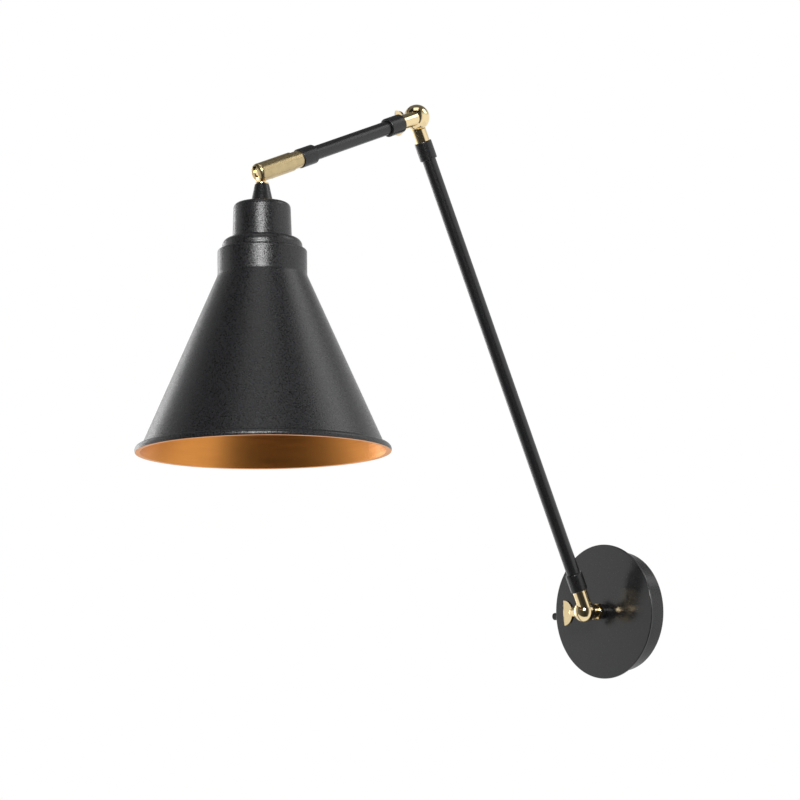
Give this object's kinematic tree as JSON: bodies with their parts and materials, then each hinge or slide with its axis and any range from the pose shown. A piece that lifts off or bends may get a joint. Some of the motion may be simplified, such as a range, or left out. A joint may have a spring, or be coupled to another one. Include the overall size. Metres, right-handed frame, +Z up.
{
  "type": "accordion wall lamp",
  "caption": "Wall lamp with a round canopy, two folding tubular arms on split-ball knuckles with wing screws, and a tilting cone shade with a screw lampholder.",
  "frame": {"origin": "on the wall, at the centre of the canopy and of the two wall-screw slots", "axes": "+Z up, -Y out of the wall into the room, +X along the wall; the three hinges lie along X"},
  "size_m": [0.1724, 0.4307, 0.4149],
  "materials": {
    "black_powder": "fine-textured black powder coat, semi-matt; the inside of the shade is satin copper lacquer",
    "black_satin": "smooth satin black lacquer on steel tube",
    "polished_brass": "polished pale brass",
    "satin_brass": "brushed olive-gold brass",
    "zinc_steel": "zinc-plated steel",
    "white_moulding": "white moulded plastic",
    "black_moulding": "black moulded plastic",
    "fibre": "red-brown vulcanised fibre"
  },
  "bodies": {
    "canopy": {"wall_bracket": "zinc_steel", "canopy_body": "black_powder", "canopy_face": "black_powder", "canopy_side_screw": "black_powder", "terminal_block": "white_moulding", "terminal_screws": "zinc_steel", "earth_screw": "zinc_steel", "stub_nipple": "satin_brass", "inner_washer": "zinc_steel", "inner_nut": "satin_brass", "stub_collar": "black_powder", "stub_nut": "polished_brass", "base_wall_half": "polished_brass"},
    "canopy_screw": {"canopy_thumb_screw": "black_powder"},
    "lower_arm": {"base_arm_half": "polished_brass", "base_friction_washer": "fibre", "lower_arm_collar": "black_powder", "lower_arm_tube": "black_satin", "lower_arm_top_collar": "black_powder", "elbow_lower_half": "polished_brass"},
    "base_wing": {"base_wing_screw": "polished_brass"},
    "upper_arm": {"elbow_upper_half": "polished_brass", "elbow_friction_washer": "fibre", "upper_arm_inner_collar": "black_powder", "upper_arm_tube": "black_satin", "upper_arm_outer_collar": "black_powder", "head_fork": "satin_brass", "head_pivot_screw": "satin_brass"},
    "elbow_wing": {"elbow_wing_screw": "polished_brass"},
    "head": {"head_tongue": "polished_brass", "nose_cone": "black_powder", "cup_nut": "satin_brass", "socket_cup": "black_powder", "neck_ring": "black_powder", "shade": "black_powder", "holder_nut": "black_moulding", "holder_body": "black_moulding", "holder_shell": "satin_brass", "centre_contact": "satin_brass"}
  },
  "joints": [
    {"name": "base_tilt", "type": "hinge", "parent": "canopy", "child": "lower_arm", "pos_m": [0.0021, -0.0399, 0], "axis": [1, 0, 0], "range_deg": [-20, 150]},
    {"name": "base_wing_turn", "type": "hinge", "parent": "lower_arm", "child": "base_wing", "pos_m": [0.0021, -0.0399, 0], "axis": [1, 0, 0], "range_deg": [-180, 0]},
    {"name": "elbow_tilt", "type": "hinge", "parent": "lower_arm", "child": "upper_arm", "pos_m": [0.0067, -0.18936, 0.35556], "axis": [1, 0, 0], "range_deg": [-178, 8]},
    {"name": "elbow_wing_turn", "type": "hinge", "parent": "upper_arm", "child": "elbow_wing", "pos_m": [0.0067, -0.18936, 0.35556], "axis": [1, 0, 0], "range_deg": [-180, 0]},
    {"name": "head_tilt", "type": "hinge", "parent": "upper_arm", "child": "head", "pos_m": [0.0092, -0.33659, 0.29905], "axis": [1, 0, 0], "range_deg": [-61, 28]},
    {"name": "canopy_screw_turn", "type": "hinge", "parent": "canopy", "child": "canopy_screw", "pos_m": [-0.0447, -0.01145, 0], "axis": [1, 0, 0], "range_deg": [-360, 0]}
  ]
}
